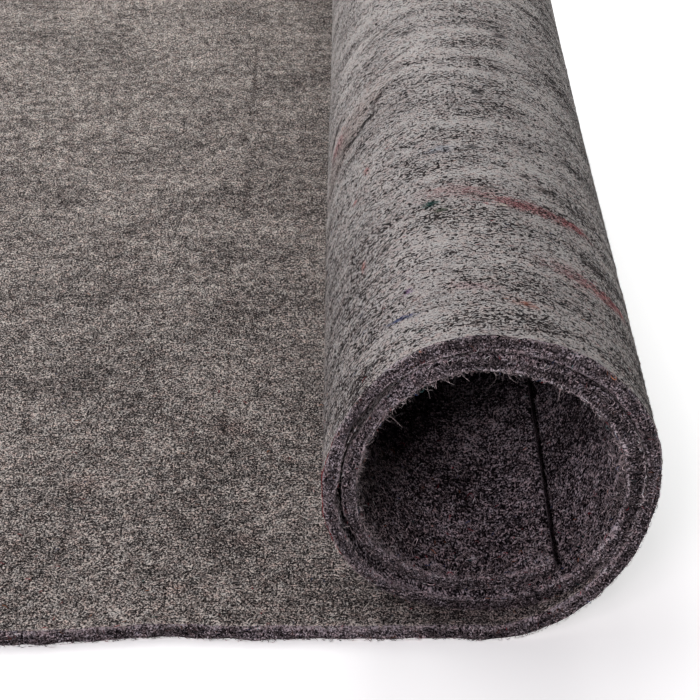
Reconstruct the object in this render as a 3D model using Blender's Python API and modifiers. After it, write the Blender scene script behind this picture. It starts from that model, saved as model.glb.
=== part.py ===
"""Roll of carpet underlay: one cut length of thick grey felt, one end wound into a hollow roll.

Metres, +Z up. The roll's axis runs along Y and the unwound end lies flat towards -X.
The front edge is at the low end of Y. The origin is the middle of the footprint, on the floor.
"""

from math import cos, pi, radians, sin

import bmesh
import bpy

# The felt sheet, as cut
FELT_THICKNESS = 0.006
CUT_WIDTH = 1.0

# The roll: radius of the outermost layer's middle, turns wound, and how loosely they lie
ROLL_RADIUS = 0.0638
WOUND_TURNS = 2.1
LAYER_GAP = 0.0011
SINK_PER_TURN = 0.0005

# The unwound end, measured from the roll's axis
FLAT_REACH = 0.36

# Slow waves of the wall along the roll: height, length, and how they lean round it
WAVE_HEIGHT = 0.0006
WAVE_LENGTH = 0.62
WAVE_LEAN = radians(70.0)

# The roll isn't quite round. Columns: lobes round it, share of the radius, degrees to a lobe.
# Angles are counted from the bottom, over the right side as seen from the front.
SECTION_LOBES = (
    (2, 0.027, 98.0),
    (3, 0.0105, 69.0),
    (4, 0.009, 23.0),
)

# Front edge on the floor. Columns: metres left of the roll's axis, metres set back.
FLAT_EDGE = (
    (0.360, -0.0030),
    (0.175, -0.0048),
    (0.157, -0.0025),
    (0.122, 0.0012),
    (0.090, -0.0004),
    (0.000, 0.0),
)

# Front edge in the roll. Columns: turns wound, metres set back.
WOUND_EDGE = (
    (0.00, 0.0),
    (0.25, 0.0130),
    (0.50, 0.0052),
    (0.75, 0.0055),
    (1.00, 0.0110),
    (1.50, 0.0045),
    (2.10, 0.0170),
)

# Mesh divisions
FLAT_CELLS = 18
CELLS_PER_TURN = 44
WIDTH_CELLS = 12
START_SEARCH_STEPS = 400
START_SEARCH_TURNS = 0.12

FELT_COLOUR = (0.19, 0.17, 0.165, 1.0)
FELT_ROUGHNESS = 0.95


def clear_scene():
    """Remove whatever the opened file holds."""
    for obj in list(bpy.data.objects):
        bpy.data.objects.remove(obj, do_unlink=True)


def felt_material():
    """Warm grey felt with no shine."""
    material = bpy.data.materials.new("felt")
    material.use_nodes = True
    shader = material.node_tree.nodes["Principled BSDF"]
    shader.inputs["Base Color"].default_value = FELT_COLOUR
    shader.inputs["Roughness"].default_value = FELT_ROUGHNESS
    shader.inputs["Metallic"].default_value = 0.0
    return material


def read_table(rows, at):
    """Smooth value of a two-column table, whose first column rises, at one place."""
    if at <= rows[0][0]:
        return rows[0][1]
    if at >= rows[-1][0]:
        return rows[-1][1]
    row = max(index for index in range(len(rows) - 1) if rows[index][0] <= at)
    (start, low), (end, high) = rows[row], rows[row + 1]
    share = (at - start) / (end - start)
    return low + (high - low) * share * share * (3.0 - 2.0 * share)


def section_point(turn, along):
    """Middle of the felt, as (x, height above the roll's axis), after some turns."""
    angle = 2.0 * pi * turn
    radius = ROLL_RADIUS
    for lobes, share, degrees in SECTION_LOBES:
        radius += ROLL_RADIUS * share * cos(lobes * (angle - radians(degrees)))
    radius -= (FELT_THICKNESS + LAYER_GAP) * turn
    raised = 0.5 - 0.5 * cos(angle)
    wave = WAVE_HEIGHT * raised * sin(2.0 * pi * along / WAVE_LENGTH + WAVE_LEAN * sin(angle))
    radius += wave
    return radius * sin(angle), -radius * cos(angle) - SINK_PER_TURN * turn


def winding_start():
    """Turn at which the roll's outermost layer touches the floor, and its height there."""
    turns = [START_SEARCH_TURNS * (2.0 * step / START_SEARCH_STEPS - 1.0)
             for step in range(START_SEARCH_STEPS + 1)]
    return min((section_point(turn, 0.0)[1], turn) for turn in turns)[::-1]


def station_point(station, along, start_turn, start_height):
    """Middle of the felt at one station of its length: x, height, and set-back of the edge."""
    start_x = section_point(start_turn, along)[0]
    middle = 0.5 * FELT_THICKNESS
    if station <= FLAT_CELLS:
        x = -FLAT_REACH + (start_x + FLAT_REACH) * station / FLAT_CELLS
        left_first = [(-left, back) for left, back in FLAT_EDGE]
        return x, middle, read_table(left_first, x)
    wound_cells = round(WOUND_TURNS * CELLS_PER_TURN)
    turn = start_turn + (WOUND_TURNS - start_turn) * (station - FLAT_CELLS) / wound_cells
    x, height = section_point(turn, along)
    return x, height - start_height + middle, read_table(WOUND_EDGE, turn)


def wound_sheet():
    """Open middle surface of the felt: a flat grid, mapped onto the floor and the winding."""
    start_turn, start_height = winding_start()
    stations = FLAT_CELLS + round(WOUND_TURNS * CELLS_PER_TURN)
    grid = bmesh.new()
    bmesh.ops.create_grid(grid, x_segments=stations, y_segments=WIDTH_CELLS, size=0.5)
    for vertex in grid.verts:
        station = round((vertex.co.x + 0.5) * stations)
        row = round((vertex.co.y + 0.5) * WIDTH_CELLS)
        along = CUT_WIDTH * (0.5 - 0.5 * cos(pi * row / WIDTH_CELLS))
        x, height, set_back = station_point(station, along, start_turn, start_height)
        vertex.co = (x, along + set_back, height)
    mesh = bpy.data.meshes.new("underlay")
    grid.to_mesh(mesh)
    grid.free()
    return mesh


def build_underlay(collection):
    """The one felt sheet, given its thickness and centred on the origin."""
    mesh = wound_sheet()
    mesh.materials.append(felt_material())
    mesh.shade_smooth()
    underlay = bpy.data.objects.new("underlay", mesh)
    collection.objects.link(underlay)
    thicken = underlay.modifiers.new("thickness", "SOLIDIFY")
    thicken.thickness = FELT_THICKNESS
    thicken.offset = 0.0
    thicken.use_even_offset = True
    bpy.context.view_layer.update()
    solid = underlay.evaluated_get(bpy.context.evaluated_depsgraph_get())
    corners = [tuple(corner) for corner in solid.bound_box]
    low = [min(corner[axis] for corner in corners) for axis in range(3)]
    high = [max(corner[axis] for corner in corners) for axis in range(3)]
    underlay.location = (-0.5 * (low[0] + high[0]), -0.5 * (low[1] + high[1]), -low[2])
    return underlay


def main():
    """Build the roll in its own collection."""
    clear_scene()
    collection = bpy.data.collections.new("carpet_underlay_roll")
    bpy.context.scene.collection.children.link(collection)
    build_underlay(collection)


main()
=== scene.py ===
"""Looks of the roll of carpet underlay: coarse grey felt of recycled fibres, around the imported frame.

Metres, +Z up, in the frame's own place. The roll's axis runs along Y and the camera looks along +Y.
The felt is worked out in its own flat state: s along its length from the far flat edge, w across its
cut width from the front edge, h through its thickness, and is then wound as the frame's solid is.
"""

from itertools import product
from math import cos, pi, radians, sin, tan

import bpy
import numpy as np
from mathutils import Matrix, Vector


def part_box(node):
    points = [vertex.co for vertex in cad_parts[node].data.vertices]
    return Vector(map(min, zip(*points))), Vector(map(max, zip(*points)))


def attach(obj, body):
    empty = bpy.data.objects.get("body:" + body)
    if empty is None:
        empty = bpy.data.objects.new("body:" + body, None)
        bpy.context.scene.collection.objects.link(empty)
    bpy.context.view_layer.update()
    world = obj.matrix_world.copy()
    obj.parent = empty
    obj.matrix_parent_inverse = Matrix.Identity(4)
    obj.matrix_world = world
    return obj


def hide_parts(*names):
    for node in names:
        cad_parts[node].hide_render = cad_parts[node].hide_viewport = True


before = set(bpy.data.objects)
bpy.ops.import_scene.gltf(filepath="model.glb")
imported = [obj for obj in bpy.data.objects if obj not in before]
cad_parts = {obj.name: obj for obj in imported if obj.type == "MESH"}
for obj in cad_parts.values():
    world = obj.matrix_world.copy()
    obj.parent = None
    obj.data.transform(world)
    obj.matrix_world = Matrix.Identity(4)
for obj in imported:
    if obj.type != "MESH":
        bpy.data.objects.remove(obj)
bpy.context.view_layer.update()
NODE = "underlay"
BODY = "root"

# The felt and its winding, as in the frame's solid
FELT_THICKNESS = 0.006
CUT_WIDTH = 1.0
ROLL_RADIUS = 0.0638
WOUND_TURNS = 2.1
LAYER_GAP = 0.0011
SINK_PER_TURN = 0.0005
FLAT_REACH = 0.36
WAVE_HEIGHT = 0.0006
WAVE_LENGTH = 0.62
WAVE_LEAN = radians(70.0)
START_SEARCH_STEPS = 400
START_SEARCH_TURNS = 0.12

# Columns: lobes round the roll, share of the radius, degrees from the bottom to a lobe
SECTION_LOBES = (
    (2, 0.027, 98.0),
    (3, 0.0105, 69.0),
    (4, 0.009, 23.0),
)

# Columns: metres right of the roll's axis, metres that the front edge is set back
FLAT_EDGE = (
    (-0.360, -0.0030),
    (-0.175, -0.0048),
    (-0.157, -0.0025),
    (-0.122, 0.0012),
    (-0.090, -0.0004),
    (0.000, 0.0),
)

# Columns: turns wound, metres that the front edge is set back
WOUND_EDGE = (
    (0.00, 0.0),
    (0.25, 0.0130),
    (0.50, 0.0052),
    (0.75, 0.0055),
    (1.00, 0.0110),
    (1.50, 0.0045),
    (2.10, 0.0170),
)

# The photograph's view: pitch, height of the horizon over the picture's middle, and the camera's place
PICTURE_PIXELS = 700
SENSOR_WIDTH = 36.0
PITCH = radians(24.0)
HORIZON_PIXELS = 1166.0
CAMERA_LEFT_OF_AXIS = 0.052
CAMERA_BEFORE_EDGE = 0.882
CAMERA_HEIGHT = 0.516
CLIP_START = 0.01

# The visible felt's mesh: columns an even step apart along the felt, whose length is measured first over many
# fine stations, at one place across it, and rows that are close together at the cut edges
COLUMN_STEP = 0.0015
FINE_FLAT_STATIONS = 400
FINE_WOUND_STATIONS = 4000
MEASURED_ALONG = 0.3
TANGENT_STEP = 0.0005
EDGE_RADIUS = 0.0014
EDGE_STEPS = 3
CUT_STEPS = 6
FIRST_ROW = 0.0018
FRONT_ROW_GROWTH = 1.11
BACK_ROW_GROWTH = 1.3
WIDEST_ROW = 0.045
FINE_DEPTH = 0.8
FLOOR_CLEARANCE = 0.0002
THINNEST_END = 0.35

# Troughs and ridges of the flat felt. Columns: metres left of the roll's axis at the front, and at the
# back, metres from the front edge where it starts, and ends, height, width
CREASES = (
    (0.106, 0.115, 0.00, 1.00, -0.00055, 0.0014),
    (0.113, 0.122, 0.05, 0.80, 0.00020, 0.0045),
    (0.240, 0.232, 0.45, 1.00, -0.00020, 0.0040),
    (0.175, 0.190, 0.00, 0.12, 0.00035, 0.0090),
)
CREASE_START_FADE = 0.02
CREASE_END_FADE = 0.05

# How far both faces swell, or shrink back, right at the front edge. Columns: turns wound, metres
EDGE_SWELL = (
    (-0.05, 0.0),
    (0.10, 0.0004),
    (0.28, 0.0008),
    (0.42, 0.0010),
    (0.54, 0.0006),
    (0.61, -0.0005),
    (0.65, -0.0012),
    (0.685, -0.0019),
    (0.72, -0.0003),
    (0.745, 0.0000),
    (0.765, -0.0013),
    (0.79, -0.0005),
    (0.83, -0.0015),
    (0.92, -0.0010),
    (1.00, -0.0001),
    (1.12, 0.0004),
    (1.28, 0.0008),
    (1.42, 0.0010),
    (1.54, 0.0005),
    (1.68, -0.0009),
    (1.72, 0.0002),
    (1.77, -0.0003),
    (1.85, -0.0009),
    (2.10, -0.0001),
)

# How far behind the edge that fades, how much of it the roll's outermost face is spared, and the turns over
# which that face ends
SWELL_DEPTH = 0.011
OUTERMOST_HELD = 0.9
OUTERMOST_END = (1.04, 0.96)

# Lumps of the faces, of the faces at the front edge, and of the cut. Columns: height, size, seed
FACE_LUMPS = ((0.00022, 0.0070, 11), (0.00012, 0.0035, 12))
EDGE_LUMPS = ((0.00050, 0.0065, 13), (0.00018, 0.0028, 14))
CUT_LUMPS = ((0.00035, 0.0048, 21), (0.0006, 0.010, 22))

# Layers of the cut: height, size, seed, and how little they change along the felt
CUT_LAYERS = (0.00045, 0.0019, 23)
LAYER_STRETCH = (0.12, 1.0, 1.0)

low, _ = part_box(NODE)
AXIS_X = low.x + FLAT_REACH
FRONT_Y = low.y - min(back for _, back in FLAT_EDGE)


# Winding

def section(turn, along):
    """Middle of the felt, as x and height from the roll's axis, after some turns."""
    angle = 2.0 * pi * turn
    radius = ROLL_RADIUS * np.ones_like(angle)
    for lobes, share, degrees in SECTION_LOBES:
        radius = radius + ROLL_RADIUS * share * np.cos(lobes * (angle - radians(degrees)))
    raised = 0.5 - 0.5 * np.cos(angle)
    lean = WAVE_LEAN * np.sin(angle)
    radius = radius - (FELT_THICKNESS + LAYER_GAP) * turn
    radius = radius + WAVE_HEIGHT * raised * np.sin(2.0 * pi * along / WAVE_LENGTH + lean)
    return radius * np.sin(angle), -radius * np.cos(angle) - SINK_PER_TURN * turn


def winding_start():
    """Turn at which the outermost layer touches the floor, and its x and height there."""
    turns = np.linspace(-START_SEARCH_TURNS, START_SEARCH_TURNS, START_SEARCH_STEPS + 1)
    x, height = section(turns, 0.0)
    lowest = int(np.argmin(height))
    return turns[lowest], x[lowest], height[lowest]


START_TURN, START_X, START_HEIGHT = winding_start()


def read_table(rows, at):
    """Smooth values of a two-column table, whose first column rises."""
    places, values = np.array(rows).T
    row = np.clip(np.searchsorted(places, at) - 1, 0, len(places) - 2)
    share = np.clip((at - places[row]) / (places[row + 1] - places[row]), 0.0, 1.0)
    share = share * share * (3.0 - 2.0 * share)
    return values[row] + (values[row + 1] - values[row]) * share


def middle(station, along):
    """Middle surface of the felt. A station is metres before the winding, or turns past its start."""
    x, height = section(START_TURN + np.maximum(station, 0.0), along)
    x = np.where(station < 0.0, START_X + station, x)
    height = np.where(station < 0.0, START_HEIGHT, height)
    back = np.where(station < 0.0, read_table(FLAT_EDGE, x), read_table(WOUND_EDGE, START_TURN + station))
    y = along + back
    z = height - START_HEIGHT + 0.5 * FELT_THICKNESS
    return np.stack(np.broadcast_arrays(AXIS_X + x, FRONT_Y + y, z), -1)


def tangent_and_normal(station, along):
    """Unit vectors along the felt and out of its inner face, which is the upper one where it is flat."""
    ahead = middle(station + TANGENT_STEP, along) - middle(station - TANGENT_STEP, along)
    ahead[..., 1] = 0.0
    ahead /= np.linalg.norm(ahead, axis=-1, keepdims=True)
    normal = np.stack([-ahead[..., 2], np.zeros_like(ahead[..., 0]), ahead[..., 0]], -1)
    return ahead, normal


def all_stations():
    """Stations an even step apart along the felt, and the felt's length up to each."""
    fine_flat = np.linspace(-(FLAT_REACH + START_X), 0.0, FINE_FLAT_STATIONS)
    fine_wound = np.linspace(0.0, WOUND_TURNS - START_TURN, FINE_WOUND_STATIONS)[1:]
    fine = np.concatenate([fine_flat, fine_wound])
    places = middle(fine, MEASURED_ALONG)[:, [0, 2]]
    lengths = np.concatenate([[0.0], np.cumsum(np.linalg.norm(np.diff(places, axis=0), axis=1))])
    count = int(round(lengths[-1] / COLUMN_STEP)) + 1
    even = np.linspace(0.0, lengths[-1], count)
    return np.interp(even, lengths, fine), even


STATIONS, LENGTHS = all_stations()
CUT_LENGTH = float(LENGTHS[-1])


def station_at(length):
    """Station of a place along the felt, also a little past either end."""
    station = np.interp(length, LENGTHS, STATIONS)
    past_end = (STATIONS[-1] - STATIONS[-2]) / (LENGTHS[-1] - LENGTHS[-2])
    return station + np.minimum(length, 0.0) + np.maximum(length - CUT_LENGTH, 0.0) * past_end


def length_at(turn):
    """Place along the felt of a turn of the winding."""
    return np.interp(turn - START_TURN, STATIONS, LENGTHS)


# Random forms

LATTICE = 64


def lumps(places, size, seed):
    """Smooth random values from -1 to 1, with lumps of one size."""
    lattice = np.random.default_rng(seed).uniform(-1.0, 1.0, (LATTICE, LATTICE, LATTICE))
    cell = places / size
    base = np.floor(cell).astype(int)
    part = cell - base
    part = part * part * (3.0 - 2.0 * part)
    total = np.zeros(places.shape[:-1])
    for corner in product((0, 1), repeat=3):
        weight = np.prod(np.where(np.array(corner), part, 1.0 - part), axis=-1)
        index = (base + np.array(corner)) % LATTICE
        total += weight * lattice[index[..., 0], index[..., 1], index[..., 2]]
    return total


def relief(places, rows):
    """Sum of lumps of several sizes, in metres."""
    return sum(height * lumps(places, size, seed) for height, size, seed in rows)


def soft_step(value, start, end):
    """0 at start, 1 at end, smooth between."""
    share = np.clip((value - start) / (end - start), 0.0, 1.0)
    return share * share * (3.0 - 2.0 * share)


# The felt's surface

def creases(length, across):
    """Height of the listed troughs and ridges of the flat stretch."""
    left = FLAT_REACH - length
    height = np.zeros(np.broadcast(length, across).shape)
    for front_left, back_left, start, end, depth, width in CREASES:
        line = front_left + (back_left - front_left) * across / CUT_WIDTH
        reach = soft_step(across, start - CREASE_START_FADE, start)
        reach = reach * soft_step(across, end, end - CREASE_END_FADE)
        height = height + depth * np.exp(-((left - line) / width) ** 2) * reach
    return height


def turn_at(length):
    """Turn of the winding at a place along the felt, negative where it lies flat."""
    return START_TURN + station_at(length)


def edge_swell(rest):
    """How far a face swells, or shrinks back, right at the front edge; the outermost face hardly does."""
    turn = turn_at(rest[..., 0])
    outermost = (rest[..., 2] < 0.0) * soft_step(turn, *OUTERMOST_END)
    return read_table(EDGE_SWELL, turn) * (1.0 - OUTERMOST_HELD * outermost)


def edge_unevenness(rest):
    """Swelling of the faces at the front edge, where the cut has loosened them."""
    near_edge = np.exp(-(np.maximum(rest[..., 1], 0.0) / SWELL_DEPTH) ** 2)
    return near_edge * (edge_swell(rest) + relief(rest, EDGE_LUMPS))


def face_relief(rest):
    """How far a face stands proud of the even felt."""
    side = np.sign(rest[..., 2])
    creased = creases(rest[..., 0], rest[..., 1])
    return relief(rest, FACE_LUMPS) + edge_unevenness(rest) + side * creased


def cut_relief(rest):
    """How far the cut edges are set back or stand out, along the roll's axis."""
    return relief(rest, CUT_LUMPS) + relief(rest * np.array(LAYER_STRETCH), (CUT_LAYERS,))


def wound(rest, proud):
    """Places in the frame of points given by length, across and height in the felt, and how far each stands
    out of its face."""
    station = station_at(rest[..., 0])
    place = middle(station, rest[..., 1])
    _, normal = tangent_and_normal(station, rest[..., 1])
    place = place + normal * (rest[..., 2] + np.sign(rest[..., 2]) * proud)[..., None]
    place[..., 2] = np.maximum(place[..., 2], low.z + FLOOR_CLEARANCE)
    return place


def width_rows():
    """Places across the cut width: close together at both cut edges, wide apart between them."""
    front = [EDGE_RADIUS]
    step = FIRST_ROW
    while front[-1] < FINE_DEPTH:
        front.append(front[-1] + step)
        step = min(step * FRONT_ROW_GROWTH, WIDEST_ROW)
    back = [CUT_WIDTH - EDGE_RADIUS]
    step = FIRST_ROW
    while back[-1] > front[-1] + WIDEST_ROW:
        back.append(back[-1] - step)
        step = min(step * BACK_ROW_GROWTH, WIDEST_ROW)
    return np.array(front + back[::-1])


# The four sides of the felt, each with its own material, and the turn past which the inner face, wound inside
# the roll, gets the fourth: a darker, purple-tinted copy of its own material, which is painted shade
SIDES = ("felt_inner", "felt_outer", "felt_cut", "felt_inner_painted_shade")
INNER, OUTER, CUT, INNER_IN_SHADE = range(len(SIDES))
WOUND_FACE_TURN = 0.16


def edge_loop():
    """The felt's outline across its width, as w, h and which side of SIDES."""
    half = 0.5 * FELT_THICKNESS
    rows = width_rows()
    loop = [(w, half, INNER) for w in rows]
    turned = []
    for step in range(1, EDGE_STEPS + 1):
        angle = 0.5 * pi * step / EDGE_STEPS
        turned.append((EDGE_RADIUS * sin(angle), half - EDGE_RADIUS * (1.0 - cos(angle))))
    straight = [half - EDGE_RADIUS - (FELT_THICKNESS - 2.0 * EDGE_RADIUS) * step / CUT_STEPS
                for step in range(1, CUT_STEPS)]
    back_edge = [(CUT_WIDTH - EDGE_RADIUS + out, h, CUT) for out, h in turned]
    back_edge += [(CUT_WIDTH, h, CUT) for h in straight]
    back_edge += [(CUT_WIDTH - EDGE_RADIUS + out, -h, CUT) for out, h in turned[::-1]]
    front_edge = [(CUT_WIDTH - w, -h, side) for w, h, side in back_edge]
    loop += back_edge + [(w, -half, OUTER) for w in rows[::-1]] + front_edge
    return np.array(loop)


def felt_sheet():
    """The felt as one closed mesh, with its rest state kept at each point for the materials."""
    loop = edge_loop()
    along = loop[None, :, 0]
    height = np.broadcast_to(loop[None, :, 1], (len(STATIONS), len(loop)))
    rest = np.stack(np.broadcast_arrays(LENGTHS[:, None], along, height), -1)
    end_distance = np.minimum(LENGTHS, CUT_LENGTH - LENGTHS)
    squeeze = np.sqrt(np.clip(1.0 - (1.0 - end_distance / EDGE_RADIUS) ** 2, THINNEST_END, 1.0))
    squeezed = rest.copy()
    squeezed[..., 2] *= np.where(end_distance < EDGE_RADIUS, squeeze, 1.0)[:, None]
    place = wound(squeezed, face_relief(rest) * np.abs(height) / (0.5 * FELT_THICKNESS))
    on_cut = loop[:, 2] == CUT
    place[..., 1] += np.where(on_cut[None, :], cut_relief(rest), 0.0)
    return sheet_mesh(place, rest, loop[:, 2].astype(int))


def sheet_mesh(place, rest, sides):
    """Closed mesh from a grid of stations by loop points, with its two ends capped."""
    stations, around = place.shape[:2]
    index = np.arange(stations * around).reshape(stations, around)
    following = np.roll(index, -1, axis=1)
    quads = np.stack([index[:-1], index[1:], following[1:], following[:-1]], -1).reshape(-1, 4)
    loop_sides = np.where(sides != np.roll(sides, -1), CUT, sides)
    quad_sides = np.broadcast_to(loop_sides, (stations - 1, around)).copy()
    in_mouth = turn_at(rest[:-1, :1, 0]) > WOUND_FACE_TURN
    quad_sides[(quad_sides == INNER) & in_mouth] = INNER_IN_SHADE
    rows = int((sides == INNER).sum())
    rim = around // 2 - rows
    caps = []
    for station in (0, stations - 1):
        inner = index[station, :rows]
        outer = index[station, rows + rim:rows + rim + rows][::-1]
        cap = np.stack([inner[:-1], inner[1:], outer[1:], outer[:-1]], -1).tolist()
        cap.append(index[station, rows - 1:rows + rim + 1].tolist())
        cap.append(index[station, 2 * rows + rim - 1:].tolist() + [int(index[station, 0])])
        if station > 0:
            cap = [face[::-1] for face in cap]
        caps += cap
    mesh = bpy.data.meshes.new("felt_sheet")
    mesh.from_pydata(place.reshape(-1, 3).tolist(), [], quads.tolist() + caps)
    mesh.polygons.foreach_set("material_index", quad_sides.ravel().tolist() + [CUT] * len(caps))
    mesh.shade_smooth()
    kept = mesh.attributes.new("rest_place", "FLOAT_VECTOR", "POINT")
    kept.data.foreach_set("vector", rest.reshape(-1).astype(np.float32))
    mesh.update()
    return linked("felt_sheet", mesh)


def linked(name, mesh):
    """A mesh's object, in the scene."""
    piece = bpy.data.objects.new(name, mesh)
    bpy.context.scene.collection.objects.link(piece)
    return piece


# Materials

class Nodes:
    """Short calls that build one material's node tree."""

    def __init__(self, name):
        self.material = bpy.data.materials.new(name)
        self.material.use_nodes = True
        self.tree = self.material.node_tree
        self.tree.nodes.clear()

    def add(self, kind, inputs, **settings):
        """A shader node with its inputs linked or set, and its settings."""
        node = self.tree.nodes.new("ShaderNode" + kind)
        for key, value in settings.items():
            setattr(node, key, value)
        for key, value in inputs.items():
            if isinstance(value, bpy.types.NodeSocket):
                self.tree.links.new(value, node.inputs[key])
            else:
                node.inputs[key].default_value = value
        return node

    def math(self, operation, first, second=0.0):
        """Result of one sum on two values."""
        return self.add("Math", {0: first, 1: second}, operation=operation).outputs[0]

    def noise(self, place, size, detail, turn=(0.0, 0.0, 0.0), start=(0.0, 0.0, 0.0)):
        """Noise about 0, in grains of the given size, turned and begun elsewhere to differ from others."""
        mapped = self.add("Mapping", {"Vector": place, "Location": start, "Rotation": turn, "Scale": size},
                          vector_type="TEXTURE")
        node = self.add("TexNoise", {"Vector": mapped.outputs[0], "Scale": 1.0, "Detail": detail,
                                     "Roughness": 0.55})
        return self.math("SUBTRACT", node.outputs["Fac"], 0.5)

    def fibres(self, place, size, turn, start, thickness):
        """Thin lines, 1 in their middle and 0 beside them, where a drawn-out noise passes through 0."""
        value = self.math("ABSOLUTE", self.noise(place, size, 0.6, turn, start))
        return self.add("MapRange", {"Value": value, "From Min": 0.0, "From Max": thickness,
                                     "To Min": 1.0, "To Max": 0.0}).outputs[0]

    def total(self, *terms):
        """Weighted sum of (socket, weight) pairs."""
        value = None
        for socket, weight in terms:
            value = self.add("Math", {0: socket, 1: weight, 2: 0.0 if value is None else value},
                             operation="MULTIPLY_ADD").outputs[0]
        return value

    def ramp(self, value, stops):
        """Colour at a value, between stops of a place and a colour."""
        node = self.add("ValToRGB", {"Fac": value})
        elements = node.color_ramp.elements
        while len(elements) < len(stops):
            elements.new(0.5)
        for element, (position, colour) in zip(elements, stops):
            element.position = position
            element.color = (*colour, 1.0)
        return node.outputs["Color"]

    def mix(self, share, first, second, blend):
        """The first colour blended with the second one, by a share."""
        node = self.add("Mix", {0: share}, data_type="RGBA", blend_type=blend)
        for socket, value in ((node.inputs[6], first), (node.inputs[7], second)):
            if isinstance(value, bpy.types.NodeSocket):
                self.tree.links.new(value, socket)
            else:
                socket.default_value = (*value, 1.0)
        return node.outputs[2]

    def rise(self, value, start, end):
        """0 below start, 1 above end, smooth between; start may be above end."""
        return self.add("MapRange", {"Value": value, "From Min": start, "From Max": end},
                        interpolation_type="SMOOTHSTEP").outputs[0]


# Curling fibres on each side of the felt. Columns: length and width of a curl in metres, share
CURLS = {
    "felt_inner": ((0.0012, 0.0018, 1.0), (0.0017, 0.0024, 0.9), (0.0008, 0.0013, 0.8)),
    "felt_inner_painted_shade": ((0.0013, 0.0026, 1.0), (0.0019, 0.0034, 0.9), (0.0010, 0.0020, 0.8)),
    "felt_outer": ((0.0026, 0.0015, 0.9), (0.0016, 0.0011, 0.8)),
    "felt_cut": ((0.0012, 0.0012, 1.0), (0.0017, 0.0015, 0.9), (0.0009, 0.0009, 0.8)),
}

# Thickness of the lines that draw the curls, on each side
FIBRE_THICKNESS = {"felt_inner": 0.09, "felt_inner_painted_shade": 0.15, "felt_outer": 0.05, "felt_cut": 0.15}

# Length and width of a grain, and of a pit, on each side
GRAINS = {
    "felt_inner": (0.00045, 0.0007, 0.0009, 0.0014),
    "felt_inner_painted_shade": (0.00065, 0.0014, 0.0011, 0.0022),
    "felt_outer": (0.00060, 0.0009, 0.0010, 0.0012),
    "felt_cut": (0.00060, 0.0006, 0.0010, 0.0010),
}

# Values over which the pits sink
PIT_RISE = (0.01, -0.15)

# Sizes of what is larger, along the felt, across it and through it
BLOTCH_SIZE = (0.0060, 0.0080, 0.006)
CLOUD_SIZE = (0.055, 0.045, 0.05)
CUT_LAYER_SIZE = (0.014, 0.014, 0.0011)
WARMTH_SIZE = (0.0021, 0.0021, 0.002)

# How a side grows warmer and cooler from place to place: the noise's values over which it does, and the tints
WARM_RISE = (0.02, 0.18)
WARM_TINT = (1.0, 0.90, 0.88)
COOL_RISE = (-0.02, -0.18)
COOL_TINT = (0.93, 0.98, 1.0)

# The ragged rims of streaks, flecks and painted shade lines: size and strength of the noise, and how far out
# they fade, as a share of their half size
STAIN_AND_SHADE_RIM_SIZE = (0.0024, 0.0009, 0.002)
STAIN_AND_SHADE_RAGGEDNESS = 3.6
STAIN_AND_SHADE_FADE = (1.35, 0.35)

# Dark openings and cracks of the outer face: sizes, the values over which they open, and how dark they are
PATCH_SIZE = (0.036, 0.016, 0.02)
OPENING_SIZES = ((0.0015, 0.0012, 0.0012), (0.0009, 0.0010, 0.0012))
CRACK_SIZE = (0.020, 0.0013, 0.02)
OPENING_RISE = (0.08, 0.15)
CRACK_RISE = (0.17, 0.26)
OPENING_DARKNESS = 0.82

# Where there are more openings: turns at the roll's right and left side, metres behind the front edge
RIGHT_SIDE_TURNS = (0.42, 0.34)
LEFT_SIDE_TURNS = (0.58, 0.66)
LEFT_SIDE_REACH = (0.34, 0.14)
FRONT_REACH = (0.24, 0.04)

# Where the rims get a painted highlight, as light catches their rounded edges and fuzz: metres behind the
# front edge, and height in the cut towards either face
FRONT_RIM_HIGHLIGHT_RISE = (0.0036, 0.0004)
INNER_RIM_HIGHLIGHT_RISE = (0.0008, 0.0026)
OUTER_RIM_HIGHLIGHT_RISE = (-0.0018, -0.0030)

# How strongly each side shows its curls, grain, blotches, clouds, pits and painted highlight on its front
# rim, and its level
SHARES = {
    "felt_inner": (0.56, 1.25, 0.75, 0.38, 0.45, 0.42, 0.405),
    # The inner face in shade: its low level is painted shade
    "felt_inner_painted_shade": (0.62, 1.8, 1.0, 0.7, 0.30, 0.34, 0.17),
    "felt_outer": (0.16, 0.9, 0.35, 0.35, 0.00, 0.34, 0.84),
    "felt_cut": (0.66, 1.5, 0.9, 0.6, 0.35, 0.00, 0.13),
}

# Brightness of each side over its pattern's value, and its tint in the darkest and the lightest places
TONES = {
    "felt_inner": ((0.0, 0.009), (0.2, 0.026), (0.4, 0.067), (0.6, 0.165), (0.8, 0.39), (1.0, 0.82)),
    # Darker tones of the inner face in shade: painted shade
    "felt_inner_painted_shade": ((0.0, 0.003), (0.2, 0.012), (0.4, 0.043), (0.6, 0.135), (0.8, 0.38), (1.0, 0.85)),
    "felt_outer": ((0.0, 0.015), (0.2, 0.053), (0.4, 0.150), (0.6, 0.30), (0.8, 0.440), (1.0, 0.59)),
    # The cut's low tones are partly its own darker colour, partly painted shade among its fibres
    "felt_cut": ((0.0, 0.003), (0.2, 0.010), (0.4, 0.032), (0.6, 0.095), (0.8, 0.25), (1.0, 0.55)),
}
TINTS = {
    "felt_inner": ((1.0, 0.86, 0.85), (1.0, 0.90, 0.82)),
    # Purple tint of the inner face in shade: the painted cast of the dim light there
    "felt_inner_painted_shade": ((1.0, 0.82, 0.94), (1.0, 0.89, 0.93)),
    "felt_outer": ((1.0, 0.84, 0.84), (1.0, 0.95, 0.91)),
    # Purple tint of the cut: the painted cast of the dim light on it
    "felt_cut": ((1.0, 0.78, 0.90), (1.0, 0.87, 0.92)),
}
BUMP_DISTANCE = 0.0005
FELT_ROUGHNESS = 0.95
FELT_GLOSS = 0.05

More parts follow.
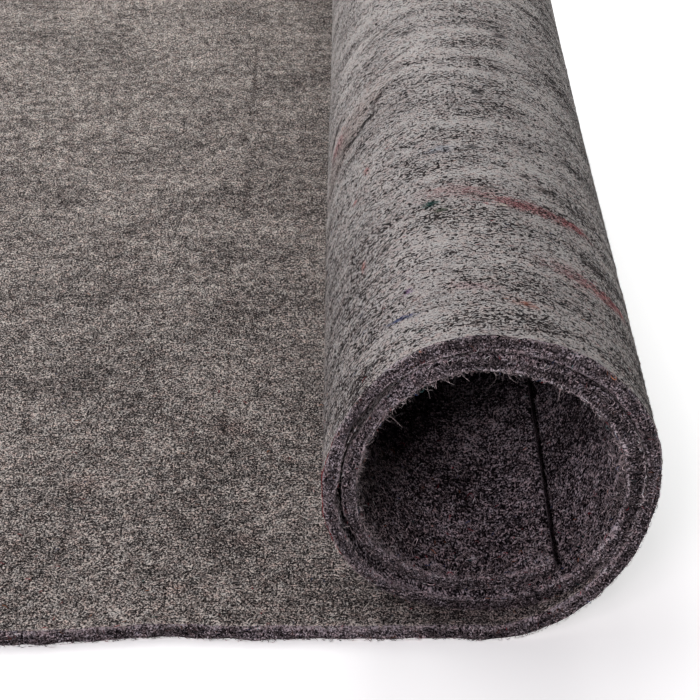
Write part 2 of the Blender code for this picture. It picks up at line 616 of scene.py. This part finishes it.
# Streaks of dyed fibres and dark flecks on the roll's outer face. Columns: turns wound, metres behind the
# front edge, half length round the roll, half width, degrees of lean, tint, strength
OUTER_STAINS = (
    (0.436, 0.1425, 0.0190, 0.0060, 3.0, (0.98, 0.50, 0.52), 0.84),
    (0.512, 0.1530, 0.0170, 0.0070, 14.0, (0.98, 0.76, 0.76), 0.75),
    (0.381, 0.1440, 0.0070, 0.0036, -8.0, (1.00, 0.48, 0.50), 0.75),
    (0.402, 0.0830, 0.0120, 0.0085, 20.0, (0.97, 0.74, 0.75), 0.75),
    (0.352, 0.0830, 0.0130, 0.0056, -10.0, (1.00, 0.52, 0.52), 0.80),
    (0.462, 0.0350, 0.0060, 0.0035, 30.0, (1.00, 0.70, 0.64), 0.60),
    (0.512, 0.0490, 0.0090, 0.0035, 20.0, (1.00, 0.76, 0.80), 0.70),
    (0.547, 0.1430, 0.0036, 0.0036, 0.0, (0.10, 0.24, 0.22), 0.92),
    (0.537, 0.1330, 0.0032, 0.0026, 0.0, (0.10, 0.15, 0.09), 0.90),
    (0.578, 0.0600, 0.0018, 0.0022, 0.0, (0.45, 0.28, 0.60), 0.85),
    (0.588, 0.0380, 0.0070, 0.0014, 25.0, (0.28, 0.36, 0.60), 0.85),
    (0.480, 0.2880, 0.0032, 0.0040, 0.0, (0.12, 0.12, 0.13), 0.95),
    (0.532, 0.2070, 0.0070, 0.0050, 0.0, (0.66, 0.74, 0.84), 0.80),
    (0.494, 0.2080, 0.0028, 0.0028, 0.0, (0.22, 0.22, 0.23), 0.90),
    (0.648, 0.2060, 0.0018, 0.0030, 0.0, (0.90, 0.42, 0.42), 0.80),
    (0.627, 0.2300, 0.0016, 0.0040, 0.0, (0.90, 0.42, 0.42), 0.80),
    (0.635, 0.1210, 0.0014, 0.0060, 0.0, (0.95, 0.45, 0.42), 0.80),
    (0.690, 0.3200, 0.0090, 0.0160, 0.0, (1.00, 0.84, 0.84), 0.70),
    (0.665, 0.3100, 0.0450, 0.0180, -56.0, (0.80, 0.73, 0.71), 0.80),
    (0.700, 0.3460, 0.0130, 0.0030, -53.0, (0.20, 0.18, 0.19), 0.92),
    (0.712, 0.3420, 0.0065, 0.0040, -60.0, (0.28, 0.26, 0.27), 0.88),
    (0.696, 0.3240, 0.0070, 0.0090, 0.0, (0.98, 0.66, 0.72), 0.75),
    (0.660, 0.2940, 0.0110, 0.0026, 36.0, (0.14, 0.13, 0.14), 0.94),
    (0.627, 0.2960, 0.0080, 0.0026, -30.0, (0.18, 0.17, 0.18), 0.92),
    (0.606, 0.3160, 0.0120, 0.0026, -62.0, (0.24, 0.22, 0.23), 0.90),
    (0.583, 0.3600, 0.0120, 0.0013, -35.0, (0.26, 0.24, 0.25), 0.88),
    (0.437, 0.1820, 0.0026, 0.0026, 0.0, (0.14, 0.13, 0.14), 0.90),
    (0.412, 0.1720, 0.0055, 0.0036, 0.0, (0.22, 0.20, 0.20), 0.85),
    (0.435, 0.3900, 0.0045, 0.0050, 0.0, (0.18, 0.17, 0.18), 0.90),
    (0.560, 0.3940, 0.0030, 0.0040, 0.0, (0.20, 0.19, 0.20), 0.85),
    (0.449, 0.3310, 0.0035, 0.0034, 0.0, (0.20, 0.19, 0.20), 0.90),
    (0.325, 0.4380, 0.0030, 0.0070, 0.0, (0.30, 0.28, 0.28), 0.85),
    (0.420, 0.0450, 0.0025, 0.0025, 0.0, (0.16, 0.16, 0.17), 0.85),
    (0.603, 0.1180, 0.0024, 0.0030, 0.0, (0.18, 0.18, 0.19), 0.90),
    (0.587, 0.2910, 0.0130, 0.0012, -14.0, (0.25, 0.23, 0.23), 0.80),
    (0.469, 0.3420, 0.0110, 0.0014, 0.0, (0.28, 0.26, 0.26), 0.80),
    (0.612, 0.4180, 0.0150, 0.0016, -20.0, (0.28, 0.26, 0.26), 0.80),
)

# Painted shade along the first crease's trough, then faint patches and dark spots on the flat felt. Columns:
# metres left of the roll's axis, then as above
FLAT_STAINS_AND_CREASE_SHADE = (
    # Painted shade along the trough of the first crease
    (0.1115, 0.690, 0.0012, 0.0800, 0.8, (0.42, 0.40, 0.40), 0.80),
    (0.1100, 0.487, 0.0013, 0.0550, 0.8, (0.50, 0.48, 0.48), 0.75),
    (0.1085, 0.200, 0.0011, 0.0600, 0.8, (0.62, 0.60, 0.60), 0.65),
    (0.1070, 0.062, 0.0012, 0.0340, 0.8, (0.55, 0.53, 0.53), 0.65),
    # Faint patches and dark spots
    (0.106, 0.177, 0.0070, 0.0090, 0.0, (1.00, 0.86, 0.84), 0.60),
    (0.166, 0.126, 0.0080, 0.0080, 20.0, (1.00, 0.88, 0.86), 0.60),
    (0.095, 0.071, 0.0060, 0.0060, 0.0, (1.00, 0.87, 0.85), 0.60),
    (0.121, 0.029, 0.0060, 0.0050, 0.0, (1.00, 0.88, 0.86), 0.60),
    (0.156, 0.046, 0.0026, 0.0034, 0.0, (0.35, 0.33, 0.33), 0.80),
    (0.109, 0.082, 0.0030, 0.0040, 0.0, (0.38, 0.36, 0.36), 0.80),
)


def grain_value(nodes, name, rest):
    """Pattern of curls, grain, pits, blotches and clouds, and the height that goes with it."""
    curls_share, grain_share, blotches_share, clouds_share, pits_share, _, level = SHARES[name]
    fibres = None
    for number, (length, width, share) in enumerate(CURLS[name]):
        start = (0.31 * number, 0.17 * number, 0.23 * number)
        lines = nodes.fibres(rest, (length, width, min(length, width)), (0.0, 0.0, 0.1 * number), start,
                             FIBRE_THICKNESS[name])
        lines = nodes.math("MULTIPLY", lines, share)
        fibres = lines if fibres is None else nodes.math("MAXIMUM", fibres, lines)
    grain_length, grain_width, pit_length, pit_width = GRAINS[name]
    grain = nodes.noise(rest, (grain_length, grain_width, grain_length), 0.0)
    pits = nodes.noise(rest, (pit_length, pit_width, pit_length), 0.0, start=(0.4, 0.1, 0.2))
    pits = nodes.rise(pits, *PIT_RISE)
    blotches = nodes.noise(rest, BLOTCH_SIZE, 2.0, start=(0.2, 0.6, 0.1))
    clouds = nodes.noise(rest, CLOUD_SIZE, 1.0, start=(0.5, 0.3, 0.7))
    value = nodes.total((fibres, curls_share), (grain, grain_share), (blotches, blotches_share),
                        (clouds, clouds_share), (pits, -pits_share))
    height = nodes.total((fibres, 0.5), (grain, 0.9), (blotches, 0.8), (pits, -0.8))
    return nodes.math("ADD", value, level), height


def dashes(nodes, rest):
    """Dark openings between the outer face's light fibres, drawn out round the roll, in patches."""
    places = nodes.add("SeparateXYZ", {"Vector": rest}).outputs
    patches = nodes.noise(rest, PATCH_SIZE, 3.0, start=(0.7, 0.2, 0.4))
    right_side = nodes.rise(places[0], *map(length_at, RIGHT_SIDE_TURNS))
    left_side = nodes.math("MULTIPLY", nodes.rise(places[0], *map(length_at, LEFT_SIDE_TURNS)),
                           nodes.rise(places[1], *LEFT_SIDE_REACH))
    front = nodes.rise(places[1], *FRONT_REACH)
    denser = nodes.total((patches, 0.36), (right_side, 0.062), (left_side, 0.055), (front, 0.005))
    most = None
    for number, size in enumerate(OPENING_SIZES):
        start = (0.13 * number, 0.41 * number, 0.29 * number)
        opening = nodes.noise(rest, size, 0.6, start=start)
        opening = nodes.rise(nodes.total((opening, 1.0), (denser, 1.0)), *OPENING_RISE)
        most = opening if most is None else nodes.math("MAXIMUM", most, opening)
    cracks = nodes.noise(rest, CRACK_SIZE, 1.0, (0.0, 0.0, 0.06), (0.2, 0.8, 0.5))
    cracks = nodes.rise(nodes.total((cracks, 1.0), (patches, 0.3)), *CRACK_RISE)
    return nodes.math("MAXIMUM", most, cracks)


def stained_and_shaded(nodes, rest, colour, stains_and_shade):
    """A colour with the listed streaks and flecks, and lines of painted shade, each ragged at its rim."""
    ragged = nodes.noise(rest, STAIN_AND_SHADE_RIM_SIZE, 3.0, start=(0.9, 0.4, 0.6))
    for length, across, half_length, half_width, lean, tint, strength in stains_and_shade:
        mapped = nodes.add("Mapping", {"Vector": rest, "Location": (length, across, 0.0),
                                       "Rotation": (0.0, 0.0, radians(lean)),
                                       "Scale": (half_length, half_width, 1.0)}, vector_type="TEXTURE")
        away = nodes.add("VectorMath", {0: mapped.outputs[0]}, operation="LENGTH").outputs["Value"]
        share = nodes.rise(nodes.total((away, 1.0), (ragged, STAIN_AND_SHADE_RAGGEDNESS)), *STAIN_AND_SHADE_FADE)
        colour = nodes.mix(nodes.math("MULTIPLY", share, strength), colour, tint, "MULTIPLY")
    return colour


def felt_material(name):
    """Needled felt: thin fibres lying every way over a darker ground, with pits, blotches, clouds and painted
    highlights on its rims.
    """
    nodes = Nodes(name)
    rest = nodes.add("Attribute", {}, attribute_name="rest_place").outputs["Vector"]
    places = nodes.add("SeparateXYZ", {"Vector": rest}).outputs
    value, height = grain_value(nodes, name, rest)
    if name == "felt_outer":
        opened = dashes(nodes, rest)
        value = nodes.total((value, 1.0), (opened, -OPENING_DARKNESS))
        height = nodes.total((height, 0.5), (opened, -1.1))
    if name == "felt_cut":
        # Painted highlight on the cut's rims towards either face
        inner_rim_highlight = nodes.rise(places[2], *INNER_RIM_HIGHLIGHT_RISE)
        outer_rim_highlight = nodes.rise(places[2], *OUTER_RIM_HIGHLIGHT_RISE)
        layered = nodes.noise(rest, CUT_LAYER_SIZE, 2.0, start=(0.3, 0.5, 0.9))
        value = nodes.total((value, 1.0), (inner_rim_highlight, 0.30), (outer_rim_highlight, 0.20), (layered, 0.9))
        height = nodes.total((height, 1.0), (layered, 1.0))
    else:
        # Painted highlight along the face's front rim
        rim = nodes.rise(places[1], *FRONT_RIM_HIGHLIGHT_RISE)
        rim_highlight_share = SHARES[name][5]
        value = nodes.total((value, 1.0), (rim, rim_highlight_share))
    dark, light = TINTS[name]
    stops = []
    for at, shade in TONES[name]:
        stops.append((at, tuple(shade * (first + (last - first) * at) for first, last in zip(dark, light))))
    colour = nodes.ramp(value, stops)
    warmth = nodes.noise(rest, WARMTH_SIZE, 2.0, start=(0.6, 0.9, 0.3))
    colour = nodes.mix(nodes.rise(warmth, *WARM_RISE), colour, WARM_TINT, "MULTIPLY")
    colour = nodes.mix(nodes.rise(warmth, *COOL_RISE), colour, COOL_TINT, "MULTIPLY")
    if name == "felt_outer":
        colour = stained_and_shaded(nodes, rest, colour, [(length_at(turn), *others) for turn, *others in OUTER_STAINS])
    if name == "felt_inner":
        # Patches and spots of the flat felt, with painted shade along a crease
        colour = stained_and_shaded(nodes, rest, colour, [(FLAT_REACH - left, *others) for left, *others in FLAT_STAINS_AND_CREASE_SHADE])
    bump = nodes.add("Bump", {"Height": height, "Strength": 1.0, "Distance": BUMP_DISTANCE})
    shader = nodes.add("BsdfPrincipled", {"Base Color": colour, "Normal": bump.outputs[0],
                                          "Roughness": FELT_ROUGHNESS, "Specular IOR Level": FELT_GLOSS})
    nodes.add("OutputMaterial", {"Surface": shader.outputs[0]})
    return nodes.material


# Loose fibres

# Points along a fibre, sides of its tube, and the share of its thickness at its ends
CUT_POINTS = 5
FACE_POINTS = 4
HAIR_POINTS = 9
FIBRE_SIDES = 3
END_THICKNESS = 0.35

# Turns where the outer face starts and ends, and where the mouth's inner face starts
OUTER_FACE_TURNS = (0.05, 1.05)
MOUTH_TURN = 1.04

# Share of the fibres that catch the light, and the brightest that a colour gets
BRIGHT_SHARE = 0.16
MOST_BRIGHT = 0.9

# How much lighter or darker than its colour a fibre is, how much of its bend comes in steps, and the share of
# fibres with one end in the air
SHADE_SPREAD = (0.65, 1.35)
STEP_BEND = 0.3
END_IN_AIR = 0.25

# Fibres of the outer face: how far they lean from lying round the roll, and how a bundle's shades vary
FACE_LEAN = 0.45
BUNDLE_SHADES = (0.7, 1.3)

# How uneven a fibre's colour is along it, and over which size
DYE_UNEVENNESS = 1.4
DYE_SIZE = (0.0012, 0.0012, 0.0012)

# Fibres on the cut: how far past the faces they start, how dark its middle is, as painted shade, how much
# lighter its rims are, as a painted highlight, and the least and the most swelling of the faces that the
# fibres follow
CUT_OVERHANG = 0.0004
CUT_MIDDLE_PAINTED_SHADE = 0.42
CUT_RIM_PAINTED_HIGHLIGHT = 1.90
SWELL_LIMITS = (-0.0006, 0.0009)

# How far fibres may pass the cut edges, keep from the back one, and reach under the roll
FACE_OVERHANG = 0.0003
BACK_MARGIN = 0.002
UNDER_ROLL = 0.02

# Hairs: which way they head (along the felt, across it, out of it), how much that varies, how much they
# curl, how far behind the edge they are rooted, and how deep they start and may run below the face
HAIR_HEADING = (0.0, -0.35, 0.8)
HAIR_SPREAD = 0.8
HAIR_CURL = 0.5
HAIR_ROOTS = (0.0001, 0.0022)
HAIR_SUNK = 0.0003
HAIR_DEEPEST = 0.0004

# Small amounts that keep the direction of a straight fibre's tube from being undefined
SLIGHT_TILT = np.array([0.0131, 0.0171, 0.0117]) * 0.001
TINY = 1e-12

# Colours of the fibres. Columns: share of them, red, green, blue
FIBRE_COLOURS = (
    (0.36, 0.46, 0.43, 0.41),
    (0.22, 0.22, 0.20, 0.19),
    (0.28, 0.022, 0.020, 0.021),
    (0.11, 0.72, 0.69, 0.66),
    (0.012, 0.34, 0.045, 0.055),
    (0.008, 0.05, 0.09, 0.20),
    (0.006, 0.42, 0.17, 0.07),
    (0.004, 0.06, 0.17, 0.16),
)

# Bundles of dyed fibres that show on the outer face. Columns: turns wound, metres behind the front edge,
# half length round the roll, half width, colour, fibres
DYED_BUNDLES = (
    (0.436, 0.1425, 0.0200, 0.0070, (0.44, 0.19, 0.20), 100),
    (0.381, 0.1440, 0.0060, 0.0040, (0.42, 0.12, 0.13), 34),
    (0.352, 0.0830, 0.0120, 0.0075, (0.42, 0.15, 0.16), 56),
    (0.402, 0.0830, 0.0110, 0.0090, (0.40, 0.20, 0.21), 34),
    (0.512, 0.1530, 0.0170, 0.0070, (0.42, 0.22, 0.23), 36),
    (0.462, 0.0350, 0.0050, 0.0038, (0.46, 0.21, 0.15), 12),
    (0.547, 0.1430, 0.0030, 0.0030, (0.02, 0.07, 0.06), 36),
    (0.588, 0.0380, 0.0060, 0.0010, (0.05, 0.08, 0.22), 16),
    (0.469, 0.1380, 0.0006, 0.0006, (0.85, 0.80, 0.70), 14),
    (0.770, 0.0003, 0.0260, 0.0003, (0.24, 0.010, 0.022), 90),
)

# Hairs on the rims of the front edge. Columns: turns wound from, to, hairs, shortest, longest. Below 0 the
# first two are metres from the winding's start
RIM_HAIRS = (
    (-0.31, 0.04, 420, 0.0012, 0.0030),
    (1.02, 2.10, 240, 0.0012, 0.0030),
    (1.58, 1.88, 200, 0.0012, 0.0034),
    (1.47, 1.66, 34, 0.0035, 0.0090),
    (1.34, 1.42, 9, 0.0040, 0.0090),
    (0.55, 0.90, 90, 0.0012, 0.0028),
)


def random_colours(rng, count, tone):
    """Fibre colours drawn by their shares, each a little lighter or darker."""
    table = np.array(FIBRE_COLOURS)
    drawn = rng.choice(len(table), count, p=table[:, 0] / table[:, 0].sum())
    return table[drawn, 1:] * rng.uniform(*SHADE_SPREAD, (count, 1)) * np.array(tone)


def brightened(rng, colours, factor):
    """The same colours with some of them made brighter, for the fibres that catch the light."""
    picked = rng.random((len(colours), 1)) < BRIGHT_SHARE
    return np.minimum(colours * np.where(picked, factor, 1.0), MOST_BRIGHT)


def curls(rng, count, points, lengths, bend, heading=None):
    """Curling paths in a plane, each about its own middle, as (fibre, point, 2)."""
    length = rng.uniform(*lengths, count)
    if heading is None:
        heading = rng.uniform(0.0, 2.0 * pi, count)
    share = np.linspace(-0.5, 0.5, points - 1)
    angle = heading[:, None] + rng.normal(0.0, bend, (count, 1)) * share
    angle = angle + np.cumsum(rng.normal(0.0, STEP_BEND * bend, angle.shape), axis=1)
    steps = (length / (points - 1))[:, None, None] * np.stack([np.cos(angle), np.sin(angle)], -1)
    path = np.concatenate([np.zeros((count, 1, 2)), np.cumsum(steps, axis=1)], axis=1)
    return path - path.mean(axis=1, keepdims=True)


def arches(rng, count, points, rise, sunk):
    """Height of each fibre's points over the felt: most arch up between sunk ends, some end in the air."""
    share = np.linspace(0.0, 1.0, points)
    arch = np.where(rng.random((count, 1)) < END_IN_AIR, share ** 1.5, np.sin(pi * share) ** 0.8)
    return rng.exponential(rise, (count, 1)) * arch - sunk * (1.0 - arch)


def fibres_on_face(flat_paths, starts, side, heights):
    """Paths in the frame of fibres that lie on the inner (1) or outer (-1) face."""
    rest = np.zeros((*flat_paths.shape[:2], 3))
    rest[..., :2] = starts[:, None] + flat_paths
    rest[..., 1] = np.clip(rest[..., 1], -FACE_OVERHANG, CUT_WIDTH + FACE_OVERHANG)
    rest[..., 2] = side * 0.5 * FELT_THICKNESS
    return wound(rest, face_relief(rest) + heights)


def fibres_on_cut(flat_paths, starts, back, heights):
    """Paths in the frame of fibres that lie on the front (0) or back (1) cut edge."""
    rest = np.zeros((*flat_paths.shape[:2], 3))
    rest[..., 0] = starts[:, None, 0] + flat_paths[..., 0]
    rest[..., 2] = starts[:, None, 1] + flat_paths[..., 1]
    most = 0.5 * FELT_THICKNESS + np.clip(edge_swell(rest), *SWELL_LIMITS)
    rest[..., 2] = np.clip(rest[..., 2], -most, most)
    out = 1.0 if back else -1.0
    rest[..., 1] = CUT_WIDTH * back
    unevenness = cut_relief(rest)
    rest[..., 1] += out * heights
    place = wound(rest, 0.0)
    place[..., 1] += unevenness
    return place


def fibre_piece(name, paths, radii, colours):
    """Joined closed tubes along paths of (fibre, point, 3), thin at both ends, each with its own colour."""
    count, points = paths.shape[:2]
    ahead = np.gradient(paths, axis=1)
    ahead /= np.linalg.norm(ahead, axis=-1, keepdims=True) + TINY
    across = np.cross(paths[:, -1] - paths[:, 0], np.cross(ahead[:, points // 2], ahead[:, 0]))
    aside = np.cross(ahead, (across + SLIGHT_TILT)[:, None])
    aside /= np.linalg.norm(aside, axis=-1, keepdims=True) + TINY
    upward = np.cross(ahead, aside)
    share = np.linspace(0.0, 1.0, points)
    swelling = END_THICKNESS + (1.0 - END_THICKNESS) * np.sin(pi * share) ** 0.5
    thickness = radii[:, None, None, None] * swelling[None, :, None, None]
    angle = 2.0 * pi * np.arange(FIBRE_SIDES) / FIBRE_SIDES
    ring = np.cos(angle)[:, None] * aside[:, :, None] + np.sin(angle)[:, None] * upward[:, :, None]
    place = paths[:, :, None] + thickness * ring
    place[..., 2] = np.maximum(place[..., 2], low.z)
    index = np.arange(count * points * FIBRE_SIDES).reshape(count, points, FIBRE_SIDES)
    following = np.roll(index, -1, axis=2)
    quads = np.stack([index[:, :-1], following[:, :-1], following[:, 1:], index[:, 1:]], -1).reshape(-1, 4)
    caps = np.concatenate([index[:, 0, ::-1], index[:, -1]])
    mesh = bpy.data.meshes.new(name)
    mesh.from_pydata(place.reshape(-1, 3).tolist(), [], quads.tolist() + caps.tolist())
    mesh.shade_smooth()
    dye = mesh.attributes.new("dye", "FLOAT_VECTOR", "POINT")
    every = np.repeat(colours, points * FIBRE_SIDES, axis=0)
    dye.data.foreach_set("vector", every.reshape(-1).astype(np.float32))
    mesh.update()
    return linked(name, mesh)


def near_front(rng, count, reach):
    """Distances from the front edge, most of them small."""
    return np.minimum(rng.exponential(reach, count), CUT_WIDTH - BACK_MARGIN)


def cut_fibres(name, seed, count, back):
    """Curls all over one cut edge."""
    rng = np.random.default_rng(seed)
    half = 0.5 * FELT_THICKNESS + CUT_OVERHANG
    starts = np.stack([rng.uniform(0.0, CUT_LENGTH, count), rng.uniform(-half, half, count)], -1)
    paths = curls(rng, count, CUT_POINTS, lengths=(0.0014, 0.0040), bend=1.8)
    heights = arches(rng, count, CUT_POINTS, rise=0.00040, sunk=0.00012)
    place = fibres_on_cut(paths, starts, back, heights)
    # Darker and purple-tinted like the cut's material: partly its own colour, partly painted shade
    colours = random_colours(rng, count, tone=(0.62, 0.545, 0.58))
    # Painted shade in the cut's middle, painted highlight at its rims
    colours *= CUT_MIDDLE_PAINTED_SHADE + CUT_RIM_PAINTED_HIGHLIGHT * np.abs(starts[:, 1:] / half) ** 4
    colours = brightened(rng, colours, factor=2.6)
    return fibre_piece(name, place, radii=rng.uniform(0.00006, 0.00014, count), colours=colours)


def inner_fibres(name, seed, count):
    """Curls on the upper side of the flat felt."""
    rng = np.random.default_rng(seed)
    along = rng.uniform(0.0, FLAT_REACH + UNDER_ROLL, count)
    paths = curls(rng, count, FACE_POINTS, lengths=(0.0016, 0.0042), bend=1.6)
    heights = arches(rng, count, FACE_POINTS, rise=0.00035, sunk=0.00010)
    starts = np.stack([along, near_front(rng, count, reach=0.16)], -1)
    place = fibres_on_face(paths, starts, 1.0, heights)
    colours = random_colours(rng, count, tone=(1.0, 0.90, 0.84))
    return fibre_piece(name, place, radii=rng.uniform(0.00007, 0.00014, count), colours=colours)


def mouth_fibres(name, seed, count):
    """Curls that stand up on the inner face in the mouth of the roll, most of them near its rim."""
    rng = np.random.default_rng(seed)
    along = rng.uniform(length_at(MOUTH_TURN), CUT_LENGTH, count)
    paths = curls(rng, count, FACE_POINTS, lengths=(0.0016, 0.0044), bend=1.8)
    heights = arches(rng, count, FACE_POINTS, rise=0.00070, sunk=0.00010)
    starts = np.stack([along, near_front(rng, count, reach=0.055)], -1)
    place = fibres_on_face(paths, starts, 1.0, heights)
    # The purple tint is painted shade, the cast of the dim light inside the roll
    colours = random_colours(rng, count, tone=(1.0, 0.89, 0.94))
    colours = brightened(rng, colours, factor=1.9)
    return fibre_piece(name, place, radii=rng.uniform(0.00008, 0.00016, count), colours=colours)


def outer_fibres(name, seed, count):
    """Fibres on the roll's outer face, most of them lying round it, and bundles of dyed ones."""
    rng = np.random.default_rng(seed)
    along = rng.uniform(*map(length_at, OUTER_FACE_TURNS), count)
    behind = near_front(rng, count, reach=0.16)
    colours = random_colours(rng, count, tone=(0.95, 0.90, 0.86))
    for turn, across, half_length, half_width, colour, fibres in DYED_BUNDLES:
        spread = rng.normal(0.0, 0.5, (fibres, 2)) * (half_length, half_width)
        along = np.append(along, length_at(turn) + spread[:, 0])
        behind = np.append(behind, np.maximum(across + spread[:, 1], 0.0))
        colours = np.vstack([colours, np.array(colour) * rng.uniform(*BUNDLE_SHADES, (fibres, 1))])
    count = len(along)
    heading = rng.normal(0.0, FACE_LEAN, count) + pi * rng.integers(0, 2, count)
    paths = curls(rng, count, FACE_POINTS, lengths=(0.0020, 0.0050), bend=0.9, heading=heading)
    heights = arches(rng, count, FACE_POINTS, rise=0.00016, sunk=0.00008)
    place = fibres_on_face(paths, np.stack([along, behind], -1), -1.0, heights)
    return fibre_piece(name, place, radii=rng.uniform(0.00006, 0.00011, count), colours=colours)


def rim_hairs(name, seed):
    """Hairs that curl out from the rims of the layers, the long ones into the roll's mouth."""
    rng = np.random.default_rng(seed)
    paths = []
    for first, last, hairs, shortest, longest in RIM_HAIRS:
        step = rng.uniform(shortest, longest, hairs)[:, None, None] / (HAIR_POINTS - 1)
        heading = np.array(HAIR_HEADING) + rng.normal(0.0, HAIR_SPREAD, (hairs, 3))
        turning = rng.normal(0.0, HAIR_CURL, (hairs, HAIR_POINTS - 1, 3))
        turning = turning + rng.normal(0.0, HAIR_CURL, (hairs, 1, 3))
        heading = heading[:, None] + np.cumsum(turning, axis=1)
        heading /= np.linalg.norm(heading, axis=-1, keepdims=True)
        rest = np.zeros((hairs, HAIR_POINTS, 3))
        rest[:, 1:] = np.cumsum(step * heading, axis=1)
        rest[..., 0] += rng.uniform(length_at(first), length_at(last), (hairs, 1))
        rest[..., 1] += rng.uniform(*HAIR_ROOTS, (hairs, 1))
        rest[..., 2] += 0.5 * FELT_THICKNESS - HAIR_SUNK
        rest[..., 2] = np.maximum(rest[..., 2], 0.5 * FELT_THICKNESS - HAIR_DEEPEST)
        paths.append(wound(rest, 0.0))
    place = np.concatenate(paths)
    colours = random_colours(rng, len(place), tone=(0.95, 0.86, 0.88)) + 0.05
    return fibre_piece(name, place, radii=rng.uniform(0.00005, 0.00009, len(place)), colours=colours)


def fibre_material():
    """Each fibre's own colour, uneven along it."""
    nodes = Nodes("loose_fibre")
    dye = nodes.add("Attribute", {}, attribute_name="dye").outputs["Vector"]
    place = nodes.add("NewGeometry", {}).outputs["Position"]
    uneven = nodes.noise(place, DYE_SIZE, 1.0)
    shade = nodes.math("ADD", nodes.math("MULTIPLY", uneven, DYE_UNEVENNESS), 1.0)
    colour = nodes.add("VectorMath", {0: dye, "Scale": shade}, operation="SCALE").outputs[0]
    shader = nodes.add("BsdfPrincipled", {"Base Color": (0.3, 0.27, 0.26, 1.0), "Roughness": 0.9,
                                          "Specular IOR Level": 0.15})
    nodes.tree.links.new(colour, shader.inputs["Base Color"])
    nodes.add("OutputMaterial", {"Surface": shader.outputs[0]})
    return nodes.material


# Stage

def make_camera():
    """The photograph's view: straight along the roll, pitched down, from left of its axis."""
    focal_pixels = HORIZON_PIXELS / tan(PITCH)
    data = bpy.data.cameras.new("camera")
    data.sensor_width = SENSOR_WIDTH
    data.lens = SENSOR_WIDTH * focal_pixels / PICTURE_PIXELS
    data.clip_start = CLIP_START
    camera = bpy.data.objects.new("camera", data)
    camera.location = (AXIS_X - CAMERA_LEFT_OF_AXIS, FRONT_Y - CAMERA_BEFORE_EDGE, CAMERA_HEIGHT)
    camera.rotation_euler = (0.5 * pi - PITCH, 0.0, 0.0)
    bpy.context.scene.collection.objects.link(camera)
    bpy.context.scene.camera = camera


# Columns: name, place, what it faces, side in metres, watts, colour
LIGHTS = (
    ("top_light", (0.0, 0.9, 1.3), (0.0, 0.4, 0.0), 1.0, 11.6, (1.0, 1.0, 1.0)),
    ("left_light", (-1.3, -0.2, 1.1), (0.1, -0.2, 0.0), 0.8, 3.8, (1.0, 1.0, 1.0)),
    ("rear_light", (0.8, 1.5, 0.9), (0.1, 0.3, 0.0), 0.8, 15.3, (1.0, 1.0, 1.0)),
    ("far_left_light", (-1.2, 0.7, 0.8), (-0.2, 0.4, 0.0), 0.8, 7.6, (1.0, 1.0, 1.0)),
    ("low_left_light", (-1.1, -0.3, 0.45), (-0.2, -0.1, 0.0), 0.6, 1.0, (1.0, 1.0, 1.0)),
    ("flat_light", (-0.3, 0.0, 1.5), (-0.1, 0.0, 0.0), 0.8, 3.8, (1.0, 1.0, 1.0)),
    ("front_light", (-0.27, -2.08, 0.86), (0.15, -0.4, 0.05), 0.35, 9.6, (1.0, 0.89, 0.98)),
    ("high_front_light", (-0.45, -1.9, 1.25), (0.15, -0.4, 0.05), 0.35, 4.4, (1.0, 0.89, 0.98)),
)
WORLD_STRENGTH = 0.005
FLOOR_SIZE = 12.0
FLOOR_DROP = 0.0003


def make_light(name, place, target, size, power, colour):
    """Soft square light at a place, facing a target."""
    data = bpy.data.lights.new(name, "AREA")
    data.shape = "SQUARE"
    data.size = size
    data.energy = power
    data.color = colour
    light = bpy.data.objects.new(name, data)
    light.location = place
    light.rotation_euler = (Vector(place) - Vector(target)).to_track_quat("Z", "Y").to_euler()
    bpy.context.scene.collection.objects.link(light)


def make_stage():
    """Pale floor, dim white surroundings and soft lights."""
    bpy.ops.mesh.primitive_plane_add(size=FLOOR_SIZE, location=(0.0, 0.0, low.z - FLOOR_DROP))
    floor = bpy.context.object
    floor.name = "floor"
    nodes = Nodes("floor")
    shader = nodes.add("BsdfPrincipled", {"Base Color": (0.93, 0.93, 0.93, 1.0), "Roughness": 0.9,
                                          "Emission Color": (1.0, 1.0, 1.0, 1.0), "Emission Strength": 0.5})
    nodes.add("OutputMaterial", {"Surface": shader.outputs[0]})
    floor.data.materials.append(nodes.material)
    world = bpy.data.worlds.new("surroundings")
    world.use_nodes = True
    background = world.node_tree.nodes["Background"]
    background.inputs["Color"].default_value = (1.0, 1.0, 1.0, 1.0)
    background.inputs["Strength"].default_value = WORLD_STRENGTH
    bpy.context.scene.world = world
    for light in LIGHTS:
        make_light(*light)
    bpy.context.scene.view_settings.view_transform = "Standard"


make_camera()
make_stage()
sheet = felt_sheet()
for name in SIDES:
    sheet.data.materials.append(felt_material(name))
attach(sheet, BODY)
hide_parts(NODE)

fibre_pieces = [
    cut_fibres("front_edge_fibres", seed=101, count=7300, back=0.0),
    cut_fibres("back_edge_fibres", seed=102, count=1800, back=1.0),
    inner_fibres("inner_face_fibres", seed=103, count=7000),
    outer_fibres("outer_face_fibres", seed=104, count=5000),
    mouth_fibres("mouth_fibres", seed=105, count=9000),
    rim_hairs("rim_hairs", seed=106),
]
loose_fibre = fibre_material()
for piece in fibre_pieces:
    piece.data.materials.append(loose_fibre)
    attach(piece, BODY)
